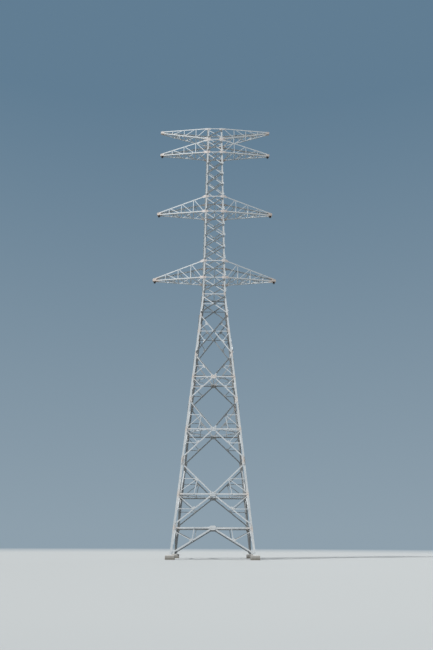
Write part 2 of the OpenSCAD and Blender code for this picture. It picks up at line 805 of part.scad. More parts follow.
// Hanger plates bolted under the tips of the six conductor arms
module hanger(i) {
    z = arm_levels[i][0] - chord_s / 2 - plate_t;
    w = hanger_w / 2;
    translate([-arm_spans[i] + hanger_in, 0, z]) {
        translate([-w, -hanger_foot_w / 2, -plate_t])
            cube([hanger_w, hanger_foot_w, plate_t]);
        difference() {
            rotate([90, 0, 0])
                linear_extrude(hanger_t, center = true)
                    polygon([
                        [-w, -plate_t / 2], [-w, -hanger_h * 0.55], [-w / 2, -hanger_h],
                        [w / 2, -hanger_h], [w, -hanger_h * 0.55], [w, -plate_t / 2]
                    ]);
            translate([0, 0, hanger_hole_z - hanger_h])
                rotate([90, 0, 0])
                    cylinder(d = hanger_hole_d, h = 2 * hanger_t, center = true, $fn = 40);
        }
    }
}

module hanger_plates() {
    color(dark_metal)
        both_hands()
            for (i = [0:2])
                hanger(i);
}

// Concrete heads of the foundations, cast round the leg ends
module pier_heads() {
    w = pier_w / 2;
    b = pier_bevel;
    outline = [[-w, 0], [w, 0], [w, pier_h - b], [w - b, pier_h], [b - w, pier_h], [-w, pier_h - b]];
    off = width(pier_h / 2) / 2 - leg_a_s / 3;
    color(concrete)
        for (k = [0:3])
            rotate([0, 0, 90 * k])
                difference() {
                    translate([-off, -off, 0])
                        intersection() {
                            rotate([90, 0, 0])
                                linear_extrude(pier_w, center = true)
                                    polygon(outline);
                            rotate([90, 0, 90])
                                linear_extrude(pier_w, center = true)
                                    polygon(outline);
                        }
                    leg_layer(stub_z, pier_h + leg_a_s, leg_a_s, 0, leg_a_t, body_lean);
                }
}

pier_heads();
for (k = [0:3]) {
    body_leg(k);
    cage_leg(k);
    base_bracing(k);
    lower_bracing(k);
    middle_bracing(k);
    upper_bracing(k);
    cage_bracing(k);
}
leg_splices();
for (i = [0:4])
    plan_bracing(i);
for (i = [0:3], h = [0, 1])
    arm(i, h);
hanger_plates();
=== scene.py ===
import math
import random

import bmesh
import bpy
from mathutils import Matrix, Vector


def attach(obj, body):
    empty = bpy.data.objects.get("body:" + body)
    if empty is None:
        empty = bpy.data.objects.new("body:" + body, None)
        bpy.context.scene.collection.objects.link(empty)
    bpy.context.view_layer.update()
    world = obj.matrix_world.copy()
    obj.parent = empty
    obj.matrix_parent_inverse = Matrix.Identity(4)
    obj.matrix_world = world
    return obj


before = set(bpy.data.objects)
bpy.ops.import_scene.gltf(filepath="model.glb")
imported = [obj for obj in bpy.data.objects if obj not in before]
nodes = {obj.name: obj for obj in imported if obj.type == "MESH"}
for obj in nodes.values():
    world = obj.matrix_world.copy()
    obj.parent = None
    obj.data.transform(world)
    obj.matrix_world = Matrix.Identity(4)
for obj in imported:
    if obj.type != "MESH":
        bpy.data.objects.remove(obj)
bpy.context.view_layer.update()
random.seed(36)
bpy.ops.object.select_all(action="DESELECT")
print("frame loaded:", len(nodes), "nodes")


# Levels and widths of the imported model, in metres
tower = {
    "baseWidth": 5.96, "waistWidth": 1.85, "topWidth": 1.265,
    "gussetFootZ": 0.316, "footZ": 0.408, "baseRingZ": 2.095, "spliceZ": 6.775,
    "waistRingZ": 20.1695, "waistZ": 20.215, "topZ": 36.0,
    "panels": [  # lower gusset edge, diagonals' lower end, horizontal, upper end, upper gusset edge
        (2.1415, 2.345, 4.39565, 6.53, 6.771),
        (6.779, 7.02, 9.0829, 11.23, 11.355),
        (11.363, 11.48, 13.146, 14.88, 15.005),
    ],
    "crossedPanels": [(15.13, 18.275), (18.525, 19.935)],
    "armLevels": [(21.635, 23.13), (27.71, 29.14), (33.54, 34.79), (34.91, 35.94)],
    "cageRings": [21.635, 23.13, 27.71, 29.14, 33.54, 34.85, 35.94],
    "tierBays": 4, "crossGap": 0.171,
}
legWide = {"lower": 0.160, "upper": 0.140, "cage": 0.130}
legThick = {"lower": 0.014, "upper": 0.012, "cage": 0.010}
horizontals = {"ring": (0.085, 0.007), "belt": (0.100, 0.008), "tie": (0.075, 0.006)}  # width and thickness


def legPart(z):
    return "cage" if z > tower["waistZ"] else "upper" if z > tower["spliceZ"] else "lower"


def leanAt(z):  # how far a face leans in for each metre of height
    t = tower
    if z <= t["waistZ"]:
        return (t["baseWidth"] - t["waistWidth"]) / 2 / t["waistZ"]
    return (t["waistWidth"] - t["topWidth"]) / 2 / (t["topZ"] - t["waistZ"])


def widthAt(z):
    return tower["waistWidth"] + 2 * leanAt(z) * (tower["waistZ"] - z)


def faceOut(z):
    return Vector((0, -1, leanAt(z))).normalized()


def faceUp(z):
    return Vector((0, leanAt(z), 1)).normalized()


def depthAt(z):
    return legThick[legPart(z)]


def gaugeAt(z):  # from the face's middle to the middle of the leg's flange
    return widthAt(z) / 2 - legWide[legPart(z)] / 2


def onFace(u, z, out=0.0):  # a point on the front face plane, moved out of it by out
    return Vector((u, -widthAt(z) / 2, z)) + faceOut(z) * out


def crossingOf(low, high):
    return low + (high - low) * gaugeAt(low) / (gaugeAt(low) + gaugeAt(high))


def cageSpliceZ():
    low, high = tower["armLevels"][0][1], tower["armLevels"][1][0]
    return high - (high - low) / tower["tierBays"] / 2


# Hex bolts: one head and one nut, modelled once and laid along every joint
boltSizes = {
    "across": 0.030, "headHeight": 0.013, "washerRadius": 0.0185, "washerHeight": 0.003, "nutHeight": 0.016,
    "stubRadius": 0.010, "stubLength": 0.010, "stubSunk": 0.002, "chamfer": 0.0022, "chamferRise": 0.6,
    "apart": 0.044,
}


def joinInto(name, parts):
    bpy.ops.object.select_all(action="DESELECT")
    for part in parts:
        part.select_set(True)
    bpy.context.view_layer.objects.active = parts[0]
    bpy.ops.object.join()
    joined = bpy.context.view_layer.objects.active
    joined.name = name
    joined.data.name = name
    bpy.ops.object.transform_apply(location=True, rotation=True, scale=True)
    bpy.ops.object.select_all(action="DESELECT")
    return joined


def addRound(sides, radius, height, base):
    middle = (0, 0, base + height / 2)
    bpy.ops.mesh.primitive_cylinder_add(vertices=sides, radius=radius, depth=height, location=middle)
    return bpy.context.active_object


def chamferedHex(height, base):
    s = boltSizes
    hexagon = addRound(6, s["across"] / 2 / math.cos(math.pi / 6), height, base)
    bpy.ops.object.mode_set(mode="EDIT")
    bpy.ops.mesh.select_all(action="DESELECT")
    mesh = bmesh.from_edit_mesh(hexagon.data)
    for face in mesh.faces:
        face.select = face.normal.z > 0.9
    bmesh.update_edit_mesh(hexagon.data)
    bpy.ops.mesh.inset(thickness=s["chamfer"])
    bpy.ops.transform.translate(value=(0, 0, s["chamfer"] * s["chamferRise"]))
    bpy.ops.object.mode_set(mode="OBJECT")
    return hexagon


def makeHead():
    s = boltSizes
    washer = addRound(10, s["washerRadius"], s["washerHeight"], 0)
    return joinInto("boltHead", [washer, chamferedHex(s["headHeight"], s["washerHeight"])])


def makeNut():
    s = boltSizes
    nut = chamferedHex(s["nutHeight"], 0)
    stub = addRound(8, s["stubRadius"], s["stubLength"] + 2 * s["stubSunk"], s["nutHeight"] - s["stubSunk"])
    return joinInto("boltNut", [nut, stub])


headMaster = makeHead()
nutMaster = makeNut()


def standOn(point, axis, spin, size):  # turns a bolt's own +Z to the axis at a point
    turn = Vector((0, 0, 1)).rotation_difference(axis).to_matrix().to_4x4()
    shaped = Matrix.Rotation(spin, 4, "Z") @ Matrix.Diagonal((size, size, size, 1))
    return Matrix.Translation(point) @ turn @ shaped


def layCopies(name, laid):
    verts, faces = [], []
    for master, place in laid:
        start = len(verts)
        verts.extend(place @ v.co for v in master.data.vertices)
        faces.extend([start + i for i in p.vertices] for p in master.data.polygons)
    mesh = bpy.data.meshes.new(name)
    mesh.from_pydata(verts, [], faces)
    mesh.update()
    piece = bpy.data.objects.new(name, mesh)
    bpy.context.scene.collection.objects.link(piece)
    return piece


def bolt(laid, point, axis, grip, size=1.0, nut=True):
    if any((point - place.translation).length < boltSizes["apart"] for _, place in laid):
        return  # two rows meet here, and one bolt serves both
    spin = random.uniform(0, math.pi / 3)
    laid.append((headMaster, standOn(point, axis, spin, size)))
    if nut:
        laid.append((nutMaster, standOn(point - axis * grip, -axis, spin * 0.7, size)))


def allFaces(laid):  # what was laid on the front face, turned to the others
    turns = [Matrix.Rotation(math.pi / 2 * k, 4, "Z") for k in range(4)]
    return [(master, turn @ place) for turn in turns for master, place in laid]


def faceBolts(laid, points, top, bottom, size=1.0):  # on both halves of a face: head at top, nut at bottom
    for u, z in points:
        for side in (-1, 1):
            bolt(laid, onFace(side * u, z, top), faceOut(z), top - bottom, size)


def barPoints(a, b, steps):  # points on a bar's centre line, by distance from its first end
    run = Vector((b[0] - a[0], b[1] - a[1]))
    return [(a[0] + run.x * s / run.length, a[1] + run.y * s / run.length) for s in steps]


# Thicknesses of what is bolted, and the rows of bolts that every joint shares
joint = {
    "plate": 0.010, "diagonal": 0.007, "upper": 0.006, "cross": 0.005, "stay": 0.004, "light": 0.8,
    "diagonalHalf": 0.045, "barGap": 0.008, "flangeEdge": 0.012,
    "legRow": (0.02, 0.073, 0.148), "ringRow": (0.0, 0.05), "hubRow": (0.03, 0.075),
    "hubSpread": (0.06, 0.13, 0.19), "kneeRow": (-0.05, 0.05), "kneeGap": 0.12,
    "gussetLine": 0.085, "gussetPitch": 0.075, "gussetStart": 0.035, "gussetEnds": 0.06, "gussetClear": 0.085,
}
covers = {  # outer cover plates: reach from their middle, width from the leg's corner, bolt rows and lines
    "body": {
        "z": tower["spliceZ"], "below": 0.28, "above": 0.28, "wide": 0.12,
        "rows": (-0.25, -0.19, -0.13, -0.075, -0.025, 0.025, 0.075, 0.13, 0.19, 0.25),
        "lines": (0.042, 0.088), "oneLineFrom": 0.16,
    },
    "waist": {
        "z": tower["waistZ"], "below": 0.18, "above": 0.12, "wide": 0.115,
        "rows": (-0.15, -0.09, 0.035, 0.085), "lines": (0.04, 0.09), "grip": 0.012,
    },
    "cage": {
        "z": cageSpliceZ(), "below": 0.16, "above": 0.16, "wide": 0.11,
        "rows": (-0.12, -0.06, 0.06, 0.12), "lines": (0.04, 0.09), "grip": 0.010,
    },
}


def coverAt(across, z):  # how far a cover plate stands out from the leg, across from its corner
    for cover in covers.values():
        if -cover["below"] < z - cover["z"] < cover["above"] and across < cover["wide"]:
            return joint["plate"]
    return 0.0


def legBolts(laid, points, under, size=1.0):  # through the leg where it covers the bar, else the gusset
    for u, z in points:
        across = u + widthAt(z) / 2
        onLeg = across < legWide[legPart(z)] - joint["flangeEdge"]
        faceBolts(laid, [(u, z)], coverAt(across, z) if onLeg else -depthAt(z), -depthAt(z) - under, size)


def gussetBolts(laid, bottom, top, legZ):  # up the leg beside the end of a diagonal
    j = joint
    for i in range(int((top - bottom - j["gussetEnds"]) / j["gussetPitch"]) + 1):
        z = bottom + j["gussetStart"] + i * j["gussetPitch"]
        if abs(z - legZ) > j["gussetClear"] and coverAt(j["gussetLine"], z) == 0:
            legBolts(laid, [(-widthAt(z) / 2 + j["gussetLine"], z)], j["plate"])


def diagonalBolts(laid, legZ, midZ, ringWide):
    j = joint
    leg, hub = (-gaugeAt(legZ), legZ), (0, midZ)
    run, rise = -leg[0], abs(midZ - legZ)
    length = math.hypot(run, rise)
    cutBack = (ringWide / 2 + run / length * j["diagonalHalf"] + j["barGap"]) / (rise / length)
    depth = depthAt(legZ)
    under = -depth - j["plate"] - j["diagonal"]
    atHub = barPoints(hub, leg, [cutBack + s for s in j["hubRow"]])
    atKnee = barPoints(leg, hub, [length / 2 + s for s in j["kneeRow"]])
    legBolts(laid, barPoints(leg, hub, j["legRow"]), j["plate"] + j["diagonal"])
    faceBolts(laid, atHub, -depth, under)
    faceBolts(laid, atKnee, -depth - j["stay"], under, j["light"])


def ringBolts(laid, z, thick):
    j = joint
    depth = depthAt(z)
    legBolts(laid, [(-gaugeAt(z) + s, z) for s in j["ringRow"]], j["plate"] + thick)
    faceBolts(laid, [(-u, z) for u in j["hubSpread"]], -depth, -depth - j["plate"] - thick)


def stayBolts(laid, leg, knee):
    j = joint
    depth = depthAt(leg[1])
    legBolts(laid, [leg], j["stay"], j["light"])
    faceBolts(laid, barPoints(knee, leg, (j["kneeGap"],)), -depth, -depth - j["plate"], j["light"])


def hangerBarBolts(laid, foot, knee, ringThick):
    j = joint
    depth = depthAt(foot[1])
    faceBolts(laid, [foot], -depth, -depth - j["plate"] - ringThick, j["light"])
    faceBolts(laid, barPoints(knee, foot, (j["kneeGap"],)), -depth, -depth - j["plate"], j["light"])


lowerBody = {
    "gussetReach": 0.15, "stayDrop": 0.2, "cornerGap": 0.05, "beltPanels": 2,
    "baseHanger": 0.48, "panelHanger": 0.55,
}


def baseBayBolts(laid):
    b = lowerBody
    z, foot = tower["baseRingZ"], tower["footZ"]
    wide, thick = horizontals["ring"]
    knee = (-gaugeAt(foot) / 2, (foot + z) / 2)
    stayZ = z - b["stayDrop"]
    diagonalBolts(laid, foot, z, wide)
    ringBolts(laid, z, thick)
    gussetBolts(laid, tower["gussetFootZ"], foot + b["gussetReach"], foot)
    gussetBolts(laid, z - b["gussetReach"], z + wide / 2, z)
    stayBolts(laid, (-gaugeAt(stayZ), stayZ), knee)
    hangerBarBolts(laid, (-b["baseHanger"] * gaugeAt(z), z), knee, thick)


def panelBolts(laid, i):
    b = lowerBody
    lowEdge, low, level, high, highEdge = tower["panels"][i]
    wide, thick = horizontals["belt" if i < b["beltPanels"] else "ring"]
    ringBolts(laid, level, thick)
    gussetBolts(laid, lowEdge, low + b["gussetReach"], low)
    gussetBolts(laid, high - b["gussetReach"], highEdge, high)
    for legZ in (low, high):
        knee = (-gaugeAt(legZ) / 2, (legZ + level) / 2)
        cornerZ = level + math.copysign(wide / 2 + b["cornerGap"], legZ - level)
        diagonalBolts(laid, legZ, level, wide)
        stayBolts(laid, (-gaugeAt(knee[1]), knee[1]), knee)
        stayBolts(laid, (-gaugeAt(cornerZ), cornerZ), knee)
    if i < b["beltPanels"]:
        foot = (-b["panelHanger"] * gaugeAt(level), level)
        hangerBarBolts(laid, foot, (-gaugeAt(high) / 2, (high + level) / 2), thick)


def lowerBodyBolts():
    laid = []
    baseBayBolts(laid)
    for i in range(len(tower["panels"])):
        panelBolts(laid, i)
    return allFaces(laid)


crossed = {
    "endRow": 0.05, "innerEnd": 0.005, "hubRow": 0.09, "skin": 0.001, "midStay": 0.132, "cornerRise": 0.075,
}


def crossBars(low, high):  # the outer bar rises to the right, the inner one to the left
    outer = ((-gaugeAt(low), low), (gaugeAt(high), high))
    inner = ((-gaugeAt(high), high), (gaugeAt(low), low))
    return outer, inner


def crossBolts(laid, low, high, thick, size):
    c = crossed
    depth = depthAt(high)
    outer, inner = crossBars(low, high)
    length = math.hypot(outer[1][0] - outer[0][0], high - low)
    for u, z in barPoints(*outer, (0.0, c["endRow"], length - c["endRow"], length)):
        bolt(laid, onFace(u, z, thick), faceOut(z), thick + depth, size)
    for u, z in barPoints(*inner, (c["innerEnd"], length - c["innerEnd"])):
        bolt(laid, onFace(u, z, 0), faceOut(z), depth + thick, size)
    bolt(laid, onFace(0, crossingOf(low, high), thick), faceOut(high), 2 * thick + depth, size)


def crossedStays(laid, low, high, z):  # short stays from the crossing's level to the middles of the bars
    c, j = crossed, joint
    depth = depthAt(high)
    for legZ in (low, high):
        knee = (-gaugeAt(legZ) / 2, (legZ + z) / 2)
        cornerZ = z + math.copysign(c["cornerRise"], legZ - z)
        corner = (-gaugeAt(cornerZ), cornerZ)
        legBolts(laid, [corner], j["stay"], j["light"])
        faceBolts(laid, barPoints(knee, corner, (j["kneeGap"],)), c["skin"], -depth - j["stay"], j["light"])
        faceBolts(laid, barPoints(knee, (0, z), j["kneeRow"]), j["upper"], -depth - j["upper"], j["light"])


def upperBodyBolts():
    laid = []
    c, j = crossed, joint
    for i, (low, high) in enumerate(tower["crossedPanels"]):
        depth = depthAt(high)
        z = crossingOf(low, high)
        crossBolts(laid, low, high, j["upper"], 1.0)
        for bar, lift in zip(crossBars(low, high), (j["upper"], c["skin"])):
            for end in bar:
                for u, v in barPoints((0, z), end, (c["hubRow"],)):
                    bolt(laid, onFace(u, v, lift), faceOut(z), j["upper"] + depth)
        legBolts(laid, [(-gaugeAt(z), z)], j["stay"], j["light"])
        faceBolts(laid, [(-c["midStay"], z)], c["skin"], -depth - j["stay"], j["light"])
        if i == 0:
            crossedStays(laid, low, high, z)
    ringZ = tower["waistRingZ"]
    legBolts(laid, [(-gaugeAt(ringZ) + s, ringZ) for s in j["ringRow"]], horizontals["tie"][1], j["light"])
    return allFaces(laid)


planLook = {"plate": 0.008, "fromMiddle": 0.07, "acrossFlange": 0.62, "quarterLevels": 3}


def planBolts():  # down through the plan bracing's plates and the horizontals' upper flanges
    laid = []
    p = planLook
    heights = [tower["baseRingZ"], *(panel[2] for panel in tower["panels"]), tower["waistRingZ"]]
    for i, (z, kind) in enumerate(zip(heights, ("ring", "belt", "belt", "ring", "tie"))):
        wide, thick = horizontals[kind]
        depth = depthAt(z) + (0 if kind == "tie" else joint["plate"])
        spots = [p["fromMiddle"]] + ([widthAt(z) / 4] if i < p["quarterLevels"] else [])
        for u in spots:
            for side in (-1, 1):
                point = onFace(side * u, z, -depth - wide * p["acrossFlange"])
                point += faceUp(z) * (wide / 2 + p["plate"])
                bolt(laid, point, faceUp(z), p["plate"] + thick, joint["light"])
    return allFaces(laid)


def cageBolts():
    laid = []
    levels = tower["armLevels"]
    spans = [(tower["waistZ"], levels[0][0], 1)]
    spans += [(low, high, 1) for low, high in levels]
    spans += [(levels[i][1], levels[i + 1][0], tower["tierBays"]) for i in (0, 1)]
    for low, high, count in spans:
        start = low + tower["crossGap"]
        step = (high - low - 2 * tower["crossGap"]) / count
        for i in range(count):
            crossBolts(laid, start + i * step, start + (i + 1) * step, joint["cross"], joint["light"])
    for z in tower["cageRings"]:
        bottom = -depthAt(z) - horizontals["tie"][1]
        faceBolts(laid, [(-gaugeAt(z), z)], joint["plate"], bottom, joint["light"])
    return allFaces(laid)


def spliceBolts():
    laid = []
    plate = joint["plate"]
    for cover in (covers["cage"], covers["waist"]):
        for row in cover["rows"]:
            z = cover["z"] + row
            points = [(-widthAt(z) / 2 + across, z) for across in cover["lines"]]
            faceBolts(laid, points, plate, -cover["grip"], joint["light"])
    cover = covers["body"]
    for row in cover["rows"]:
        z = cover["z"] + row
        lines = cover["lines"] if abs(row) < cover["oneLineFrom"] else cover["lines"][:1]
        faceBolts(laid, [(-widthAt(z) / 2 + across, z) for across in lines], plate, -depthAt(z) - plate)
    return allFaces(laid)


arms = {
    "spans": [5.07, 4.9, 4.79, 4.82], "conductorTiers": 3, "tipHalf": 0.075, "tipDepth": 0.11, "bays": 4,
    "chord": 0.007, "web": 0.011, "rootRow": (0.09, 0.16, 0.23), "tipRow": (0.06, 0.13, 0.20),
    "legLines": (0.045, 0.1), "legRows": (-0.08, 0.08), "webInner": 0.03, "webOuter": 0.015,
    "topClear": 0.02, "sharedRing": 34.85, "ringClear": 0.03,
}


def legCorner(z):
    return Vector((-widthAt(z) / 2, -widthAt(z) / 2, z))


def armLines(i):  # front side truss of a left arm: lower chord, upper chord, outward normal
    low, high = (legCorner(z) for z in tower["armLevels"][i])
    flatBelow = i < arms["conductorTiers"]  # an earth-wire arm is level along its top
    level = low if flatBelow else high
    point = Vector((-arms["spans"][i], -arms["tipHalf"], level.z))
    out = (low - point).cross(high - low).normalized()
    far = point + out.cross(level - point).normalized() * arms["tipDepth"] * (1 if flatBelow else -1)
    return ((point, low), (far, high), out) if flatBelow else ((far, low), (point, high), out)


def chordAt(chord, share):
    return chord[1] + (chord[0] - chord[1]) * share


def chordBolts(laid, chord, out):  # at both ends of a chord, and of its root plate on the leg
    a, plate, light = arms, joint["plate"], joint["light"]
    toTip = (chord[0] - chord[1]).normalized()
    for reach in a["rootRow"]:
        bolt(laid, chord[1] + toTip * reach + out * plate, out, plate + a["chord"], light)
    for reach in a["tipRow"]:
        bolt(laid, chord[0] - toTip * reach + out * plate, out, plate + a["chord"], light)
    legOut = faceOut(chord[1].z)
    for across in a["legLines"]:
        for row in a["legRows"]:
            z = chord[1].z + row
            if z < tower["topZ"] - a["topClear"] and abs(z - a["sharedRing"]) > a["ringClear"]:
                spot = Vector((-widthAt(z) / 2 + across, -widthAt(z) / 2, z))
                bolt(laid, spot + legOut * plate, legOut, 2 * plate, light)


def webBolts(laid, low, high, out, flatBelow):  # posts and slanting bars of the side truss
    bays = arms["bays"]
    for i in range(1, bays):
        inner, outer = (i - 1) / bays + arms["webInner"], i / bays - arms["webOuter"]
        ends = [(low, i / bays), (high, i / bays)]
        ends += [(high, outer), (low, inner)] if flatBelow else [(low, outer), (high, inner)]
        for chord, share in ends:
            bolt(laid, chordAt(chord, share), out, arms["web"], joint["light"])


def armBolts():
    laid = []
    for i in range(len(arms["spans"])):
        low, high, out = armLines(i)
        chordBolts(laid, low, out)
        chordBolts(laid, high, out)
        webBolts(laid, low, high, out, i < arms["conductorTiers"])
    flips = [Matrix.Diagonal((sx, sy, 1, 1)) for sx in (1, -1) for sy in (1, -1)]
    return [(master, flip @ place) for flip in flips for master, place in laid]


hangerPlate = {"drop": 0.065, "inset": 0.155, "alongX": 0.06, "alongY": 0.042}


def hangerBolts():
    laid = []
    h = hangerPlate
    for span, levels in zip(arms["spans"][:arms["conductorTiers"]], tower["armLevels"]):
        for side in (-1, 1):
            for dx in (-h["alongX"], h["alongX"]):
                for dy in (-h["alongY"], h["alongY"]):
                    place = Vector((side * (span - h["inset"]) + dx, dy, levels[0] - h["drop"]))
                    bolt(laid, place, Vector((0, 0, -1)), 0.0, joint["light"], nut=False)
    return laid


def facesOutward(piece):  # a mirrored copy is turned inside out, so its normals are made again
    bpy.ops.object.select_all(action="DESELECT")
    piece.select_set(True)
    bpy.context.view_layer.objects.active = piece
    bpy.ops.object.mode_set(mode="EDIT")
    bpy.ops.mesh.select_all(action="SELECT")
    bpy.ops.mesh.normals_make_consistent(inside=False)
    bpy.ops.object.mode_set(mode="OBJECT")
    piece.select_set(False)


boltPieces = []
for name, laid in (
    ("lower_body_bolts", lowerBodyBolts()), ("upper_body_bolts", upperBodyBolts()),
    ("plan_bolts", planBolts()), ("cage_bolts", cageBolts()), ("splice_bolts", spliceBolts()),
    ("arm_bolts", armBolts()), ("hanger_bolts", hangerBolts()),
):
    piece = layCopies(name, laid)
    facesOutward(piece)
    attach(piece, "root")
    boltPieces.append(piece)
    print(name, len(laid), "pieces,", sum(len(p.vertices) - 2 for p in piece.data.polygons), "triangles")
for master in (headMaster, nutMaster):
    bpy.data.objects.remove(master)


def addNode(tree, kind, at, **values):
    node = tree.nodes.new(kind)
    node.location = at
    for key, value in values.items():
        setattr(node, key, value)
    return node


def addMath(tree, at, operation, *values):  # the values fill the second and third inputs
    node = addNode(tree, "ShaderNodeMath", at, operation=operation)
    for i, value in enumerate(values, 1):
        node.inputs[i].default_value = value
    return node


def addRange(tree, at, fromEnds, toEnds=(0.0, 1.0)):
    node = addNode(tree, "ShaderNodeMapRange", at)
    for label, value in zip(("From Min", "From Max", "To Min", "To Max"), (*fromEnds, *toEnds)):
        node.inputs[label].default_value = value
    return node


def addNoise(tree, at, scale, detail, roughness=0.5):
    node = addNode(tree, "ShaderNodeTexNoise", at)
    for label, value in (("Scale", scale), ("Detail", detail), ("Roughness", roughness)):
        node.inputs[label].default_value = value
    return node


def addBump(tree, strength, distance):
    node = addNode(tree, "ShaderNodeBump", (-300, -350))
    node.inputs["Strength"].default_value = strength
    node.inputs["Distance"].default_value = distance
    return node


def mixColour(tree, at, blend="MIX"):  # factor, both colours and result
    mix = addNode(tree, "ShaderNodeMix", at, data_type="RGBA", blend_type=blend)
    return mix.inputs[0], mix.inputs[6], mix.inputs[7], mix.outputs[2]


def linkAll(tree, *pairs):
    for source, target in pairs:
        tree.links.new(source, target)


def newGroup(name, inputs, outputs):
    group = bpy.data.node_groups.new(name, "ShaderNodeTree")
    for label, kind, value in inputs:
        socket = group.interface.new_socket(name=label, in_out="INPUT", socket_type=kind)
        if value is not None:
            socket.default_value = value
    for label in outputs:
        group.interface.new_socket(name=label, in_out="OUTPUT", socket_type="NodeSocketFloat")
    return group, addNode(group, "NodeGroupInput", (-900, 0)), addNode(group, "NodeGroupOutput", (900, 0))


spangleLook = {
    "tone": (0.86, 1.1), "cloudScale": 2.3, "cloudDetail": 7.0, "cloudRough": 0.62, "bloomEdge": (0.45, 0.68),
    "rainStretch": (26.0, 26.0, 1.6), "rainDetail": 5.0, "rainEdge": (0.5, 0.75), "crystalHeight": 0.35,
}


def makeSpangleGroup():
    s = spangleLook
    group, into, out = newGroup(
        "zincSpangle",
        [
            ("Vector", "NodeSocketVector", None), ("Crystal Size", "NodeSocketFloat", 60.0),
            ("Bloom", "NodeSocketFloat", 0.5),
        ],
        ["Tone", "Bloom Mask", "Streak Mask", "Height"],
    )
    crystals = addNode(group, "ShaderNodeTexVoronoi", (-600, 250))
    cloud = addNoise(group, (-600, 0), s["cloudScale"], s["cloudDetail"], s["cloudRough"])
    stretch = addNode(group, "ShaderNodeMapping", (-750, -300))
    stretch.inputs["Scale"].default_value = s["rainStretch"]
    rain = addNoise(group, (-560, -300), 1.0, s["rainDetail"])
    grey = addNode(group, "ShaderNodeSeparateColor", (-400, 250))
    tone = addRange(group, (-200, 250), (0.0, 1.0), s["tone"])
    bloomEdge = addRange(group, (-200, 0), s["bloomEdge"])
    bloomAmount = addMath(group, (0, 0), "MULTIPLY")
    rainEdge = addRange(group, (-200, -300), s["rainEdge"])
    bumps = addMath(group, (200, 250), "MULTIPLY_ADD", s["crystalHeight"])
    linkAll(
        group,
        (into.outputs["Vector"], crystals.inputs["Vector"]),
        (into.outputs["Crystal Size"], crystals.inputs["Scale"]),
        (into.outputs["Vector"], cloud.inputs["Vector"]), (into.outputs["Vector"], stretch.inputs["Vector"]),
        (stretch.outputs["Vector"], rain.inputs["Vector"]), (crystals.outputs["Color"], grey.inputs["Color"]),
        (grey.outputs["Red"], tone.inputs["Value"]), (cloud.outputs["Fac"], bloomEdge.inputs["Value"]),
        (bloomEdge.outputs["Result"], bloomAmount.inputs[0]), (into.outputs["Bloom"], bloomAmount.inputs[1]),
        (rain.outputs["Fac"], rainEdge.inputs["Value"]), (grey.outputs["Red"], bumps.inputs[0]),
        (cloud.outputs["Fac"], bumps.inputs[2]), (tone.outputs["Result"], out.inputs["Tone"]),
        (bloomAmount.outputs["Value"], out.inputs["Bloom Mask"]),
        (rainEdge.outputs["Result"], out.inputs["Streak Mask"]),
        (bumps.outputs["Value"], out.inputs["Height"]),
    )
    return group


jointLook = {
    "bodyLevels": [2.07, 4.4, 6.8, 9.08, 11.36, 13.15, 15.02, 16.91, 18.3], "bodyBand": 0.34,
    "cageLevels": [20.2, 21.64, 23.13, 27.71, 29.14, 33.54, 34.85, 35.94], "cageBand": 0.17, "cageZ": 30,
    "legEdge": (0.24, 0.52), "hubLevels": [13.15], "hubBand": 0.24, "hubEdge": (0.16, 0.3), "hubTint": 0.9,
    "tipEdge": (4.4, 4.75),
    "patchScale": 5.0, "patchDetail": 5.0, "patchEdge": (0.3, 0.55), "patchLeast": 0.35,
}


def heightBands(group, at, heights, half):  # white at each height, black half a band away
    bands = addNode(group, "ShaderNodeValToRGB", at)
    ramp = bands.color_ramp
    ramp.elements.remove(ramp.elements[-1])
    ramp.elements[0].position = 0.0
    ramp.elements[0].color = (0, 0, 0, 1)
    for z in heights:
        for place, level in ((z - half, 0.0), (z, 1.0), (z + half, 0.0)):
            ramp.elements.new(place / tower["topZ"]).color = (level, level, level, 1)
    return bands


